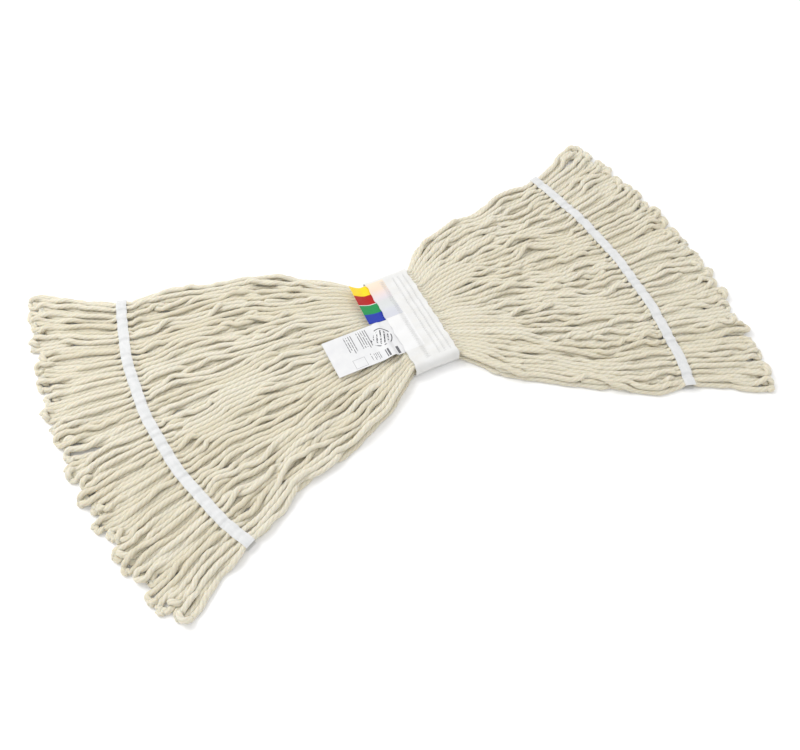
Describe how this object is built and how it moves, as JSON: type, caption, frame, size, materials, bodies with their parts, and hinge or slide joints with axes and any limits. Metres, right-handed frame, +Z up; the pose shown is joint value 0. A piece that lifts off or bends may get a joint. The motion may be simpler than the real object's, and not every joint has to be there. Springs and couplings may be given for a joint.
{
  "type": "string mop head",
  "caption": "Looped-end cotton string mop head with a wide sewn headband, two skirts bound by tail tapes, a label and a colour-code ribbon; clamps into a mop handle.",
  "frame": {"origin": "bottom centre of the whole mop head's box, on the surface that it lies on", "axes": "+X along the strands towards the right skirt, +Y across the headband, +Z up"},
  "size_m": [0.8166, 0.4823, 0.0192],
  "materials": {
    "yarn": "matt, soft, undyed spun cotton",
    "headband": "matt, slightly translucent white fabric",
    "tape": "matt white woven tape",
    "thread": "satin sewing thread",
    "label": "smooth satin label cloth",
    "ribbon": "smooth printed ribbon with yellow, red, green and blue fields"
  },
  "bodies": {
    "headband": {"headband_strip": "headband", "yarn_core": "yarn", "label_sewn_end": "label", "colour_tab_sewn_end": "ribbon", "headband_needle_thread_1": "thread", "headband_needle_thread_2": "thread", "headband_needle_thread_3": "thread", "headband_needle_thread_4": "thread", "headband_bobbin_thread_1": "thread", "headband_bobbin_thread_2": "thread", "headband_bobbin_thread_3": "thread", "headband_bobbin_thread_4": "thread"},
    "left_skirt": {"left_yarn_bundle_1": "yarn", "left_yarn_bundle_2": "yarn", "left_yarn_bundle_3": "yarn", "left_yarn_bundle_4": "yarn", "left_yarn_bundle_5": "yarn", "left_yarn_bundle_6": "yarn", "left_yarn_bundle_7": "yarn", "left_yarn_bundle_8": "yarn", "left_tape_upper": "tape", "left_tape_lower": "tape", "left_tape_inner_needle_thread": "thread", "left_tape_inner_bobbin_thread": "thread", "left_tape_outer_needle_thread": "thread", "left_tape_outer_bobbin_thread": "thread"},
    "right_skirt": {"right_yarn_bundle_1": "yarn", "right_yarn_bundle_2": "yarn", "right_yarn_bundle_3": "yarn", "right_yarn_bundle_4": "yarn", "right_yarn_bundle_5": "yarn", "right_yarn_bundle_6": "yarn", "right_yarn_bundle_7": "yarn", "right_yarn_bundle_8": "yarn", "right_tape_upper": "tape", "right_tape_lower": "tape", "right_tape_inner_needle_thread": "thread", "right_tape_inner_bobbin_thread": "thread", "right_tape_outer_needle_thread": "thread", "right_tape_outer_bobbin_thread": "thread"},
    "left_loops_1": {"left_loop_bundle_1": "yarn"},
    "left_loops_2": {"left_loop_bundle_2": "yarn"},
    "left_loops_3": {"left_loop_bundle_3": "yarn"},
    "left_loops_4": {"left_loop_bundle_4": "yarn"},
    "left_loops_5": {"left_loop_bundle_5": "yarn"},
    "left_loops_6": {"left_loop_bundle_6": "yarn"},
    "left_loops_7": {"left_loop_bundle_7": "yarn"},
    "left_loops_8": {"left_loop_bundle_8": "yarn"},
    "right_loops_1": {"right_loop_bundle_1": "yarn"},
    "right_loops_2": {"right_loop_bundle_2": "yarn"},
    "right_loops_3": {"right_loop_bundle_3": "yarn"},
    "right_loops_4": {"right_loop_bundle_4": "yarn"},
    "right_loops_5": {"right_loop_bundle_5": "yarn"},
    "right_loops_6": {"right_loop_bundle_6": "yarn"},
    "right_loops_7": {"right_loop_bundle_7": "yarn"},
    "right_loops_8": {"right_loop_bundle_8": "yarn"},
    "label": {"label_flap": "label"},
    "colour_tab": {"colour_tab_flap": "ribbon"}
  },
  "joints": [
    {"name": "left_skirt_fold", "type": "hinge", "parent": "headband", "child": "left_skirt", "pos_m": [-0.0171, 0.01778, 0.01], "axis": [0, 1, 0], "range_deg": [-90, 90]},
    {"name": "right_skirt_fold", "type": "hinge", "parent": "headband", "child": "right_skirt", "pos_m": [0.0569, 0.01778, 0.01], "axis": [0, 1, 0], "range_deg": [-90, 90]},
    {"name": "left_loops_1_swing", "type": "hinge", "parent": "left_skirt", "child": "left_loops_1", "pos_m": [-0.26884, -0.15062, 0.0057], "axis": [-0.4007, 0.9162, 0], "range_deg": [-90, 90]},
    {"name": "left_loops_2_swing", "type": "hinge", "parent": "left_skirt", "child": "left_loops_2", "pos_m": [-0.28615, -0.10546, 0.0057], "axis": [-0.3145, 0.9493, 0], "range_deg": [-90, 90]},
    {"name": "left_loops_3_swing", "type": "hinge", "parent": "left_skirt", "child": "left_loops_3", "pos_m": [-0.29923, -0.05889, 0.0057], "axis": [-0.2256, 0.9742, 0], "range_deg": [-90, 90]},
    {"name": "left_loops_4_swing", "type": "hinge", "parent": "left_skirt", "child": "left_loops_4", "pos_m": [-0.30795, -0.01132, 0.0057], "axis": [-0.1348, 0.9909, 0], "range_deg": [-90, 90]},
    {"name": "left_loops_5_swing", "type": "hinge", "parent": "left_skirt", "child": "left_loops_5", "pos_m": [-0.31225, 0.03685, 0.0057], "axis": [-0.0428, 0.9991, 0], "range_deg": [-90, 90]},
    {"name": "left_loops_6_swing", "type": "hinge", "parent": "left_skirt", "child": "left_loops_6", "pos_m": [-0.31209, 0.08521, 0.0057], "axis": [0.0495, 0.9988, 0], "range_deg": [-90, 90]},
    {"name": "left_loops_7_swing", "type": "hinge", "parent": "left_skirt", "child": "left_loops_7", "pos_m": [-0.30747, 0.13336, 0.0057], "axis": [0.1414, 0.99, 0], "range_deg": [-90, 90]},
    {"name": "left_loops_8_swing", "type": "hinge", "parent": "left_skirt", "child": "left_loops_8", "pos_m": [-0.29843, 0.18087, 0.0057], "axis": [0.2321, 0.9727, 0], "range_deg": [-90, 90]},
    {"name": "right_loops_1_swing", "type": "hinge", "parent": "right_skirt", "child": "right_loops_1", "pos_m": [0.28276, -0.18578, 0.0057], "axis": [0.2975, 0.9547, 0], "range_deg": [-90, 90]},
    {"name": "right_loops_2_swing", "type": "hinge", "parent": "right_skirt", "child": "right_loops_2", "pos_m": [0.29542, -0.13932, 0.0057], "axis": [0.228, 0.9737, 0], "range_deg": [-90, 90]},
    {"name": "right_loops_3_swing", "type": "hinge", "parent": "right_skirt", "child": "right_loops_3", "pos_m": [0.3047, -0.09208, 0.0057], "axis": [0.1572, 0.9876, 0], "range_deg": [-90, 90]},
    {"name": "right_loops_4_swing", "type": "hinge", "parent": "right_skirt", "child": "right_loops_4", "pos_m": [0.31056, -0.04428, 0.0057], "axis": [0.0857, 0.9963, 0], "range_deg": [-90, 90]},
    {"name": "right_loops_5_swing", "type": "hinge", "parent": "right_skirt", "child": "right_loops_5", "pos_m": [0.31295, 0.00381, 0.0057], "axis": [0.0137, 0.9999, 0], "range_deg": [-90, 90]},
    {"name": "right_loops_6_swing", "type": "hinge", "parent": "right_skirt", "child": "right_loops_6", "pos_m": [0.31187, 0.05195, 0.0057], "axis": [-0.0584, 0.9983, 0], "range_deg": [-90, 90]},
    {"name": "right_loops_7_swing", "type": "hinge", "parent": "right_skirt", "child": "right_loops_7", "pos_m": [0.30733, 0.09988, 0.0057], "axis": [-0.1302, 0.9915, 0], "range_deg": [-90, 90]},
    {"name": "right_loops_8_swing", "type": "hinge", "parent": "right_skirt", "child": "right_loops_8", "pos_m": [0.29935, 0.14737, 0.0057], "axis": [-0.2013, 0.9795, 0], "range_deg": [-90, 90]},
    {"name": "label_lift", "type": "hinge", "parent": "left_skirt", "child": "label", "pos_m": [-0.0151, -0.00167, 0.01795], "axis": [0, -1, 0], "range_deg": [-160, 0]},
    {"name": "colour_tab_lift", "type": "hinge", "parent": "left_skirt", "child": "colour_tab", "pos_m": [-0.0151, 0.05453, 0.01795], "axis": [0, -1, 0], "range_deg": [-160, 0]}
  ]
}
